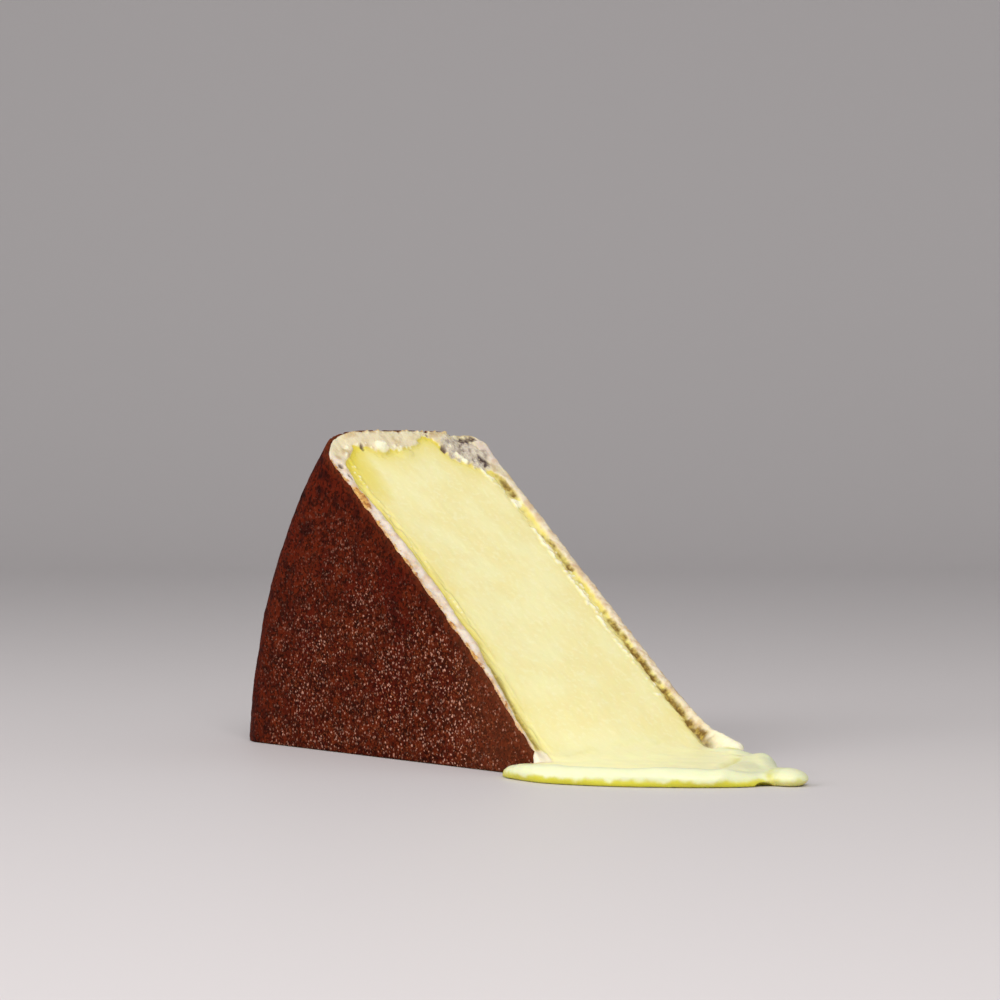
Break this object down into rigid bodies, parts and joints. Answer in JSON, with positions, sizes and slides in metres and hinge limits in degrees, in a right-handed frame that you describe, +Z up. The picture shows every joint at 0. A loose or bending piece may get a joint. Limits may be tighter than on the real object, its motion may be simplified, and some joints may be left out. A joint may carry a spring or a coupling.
{
  "type": "raclette cheese wedge",
  "caption": "Wedge cut from a round washed-rind cheese wheel, standing on one cut face, its sloping cut face melted into a run of soft cheese at the foot.",
  "frame": {"origin": "middle of the bounding box, on the surface that the wedge stands on", "axes": "+X from the curved rim to the toe and its melted run, +Y across the height of the wheel from its front face to its back face, +Z up"},
  "size_m": [0.2132, 0.0809, 0.0993],
  "materials": {
    "rind": "dark red-brown washed rind with a fine grain; the cut faces and the melted run are pale yellow paste"
  },
  "bodies": {
    "root": {"cheese_wedge": "rind"}
  },
  "joints": []
}
